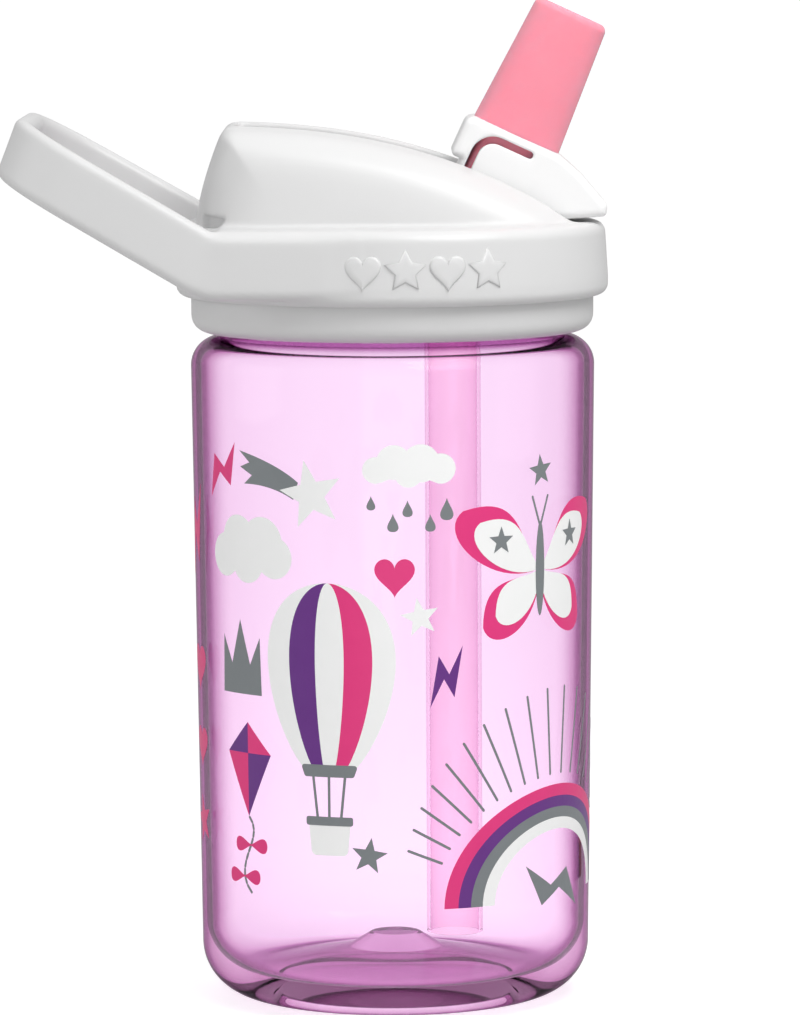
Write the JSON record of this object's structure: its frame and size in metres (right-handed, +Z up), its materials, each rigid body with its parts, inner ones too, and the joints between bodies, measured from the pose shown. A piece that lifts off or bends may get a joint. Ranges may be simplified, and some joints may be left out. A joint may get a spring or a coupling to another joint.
{
  "type": "kids water bottle",
  "caption": "Clear kids drinking bottle with a white screw cap, a flip-up straw spout with a soft bite valve, and a finger loop behind the cap.",
  "frame": {"origin": "on the bottle's axis, at the plane the foot stands on", "axes": "+Z up along the bottle's axis; +X towards the side the child drinks from, with the finger loop on -X; +Y across, along the spout's hinge"},
  "size_m": [0.1094, 0.0784, 0.1814],
  "materials": {
    "clear_shell": "clear pink moulded plastic, polished, with printed artwork",
    "white_cap": "white moulded plastic, fine satin",
    "pink_silicone": "translucent soft pink silicone",
    "red_silicone": "dark pink silicone",
    "clear_silicone": "milky silicone",
    "tinted_straw": "tinted clear extruded tube"
  },
  "bodies": {
    "bottle": {"bottle_body": "clear_shell"},
    "gasket": {"cap_gasket": "clear_silicone"},
    "cap": {"threaded_cap": "white_cap", "cap_shroud": "white_cap", "spout_seal": "red_silicone", "vent_valve": "clear_silicone", "straw": "tinted_straw"},
    "spout": {"spout_shell": "white_cap", "bite_valve": "pink_silicone"}
  },
  "joints": [
    {"name": "cap_rise", "type": "slide", "parent": "bottle", "child": "gasket", "axis": [0, 0, 1], "range_m": [0, 0.005]},
    {"name": "cap_turn", "type": "hinge", "parent": "gasket", "child": "cap", "pos_m": [0, 0, 0.125], "axis": [0, 0, 1], "range_deg": [0, 450]},
    {"name": "spout_flip", "type": "hinge", "parent": "cap", "child": "spout", "pos_m": [0.0155, 0, 0.1425], "axis": [0, -1, 0], "range_deg": [0, 110]}
  ],
  "couplings": [
    {"joint": "cap_rise", "follows": "cap_turn", "m_per_rad": 0.00063662}
  ]
}
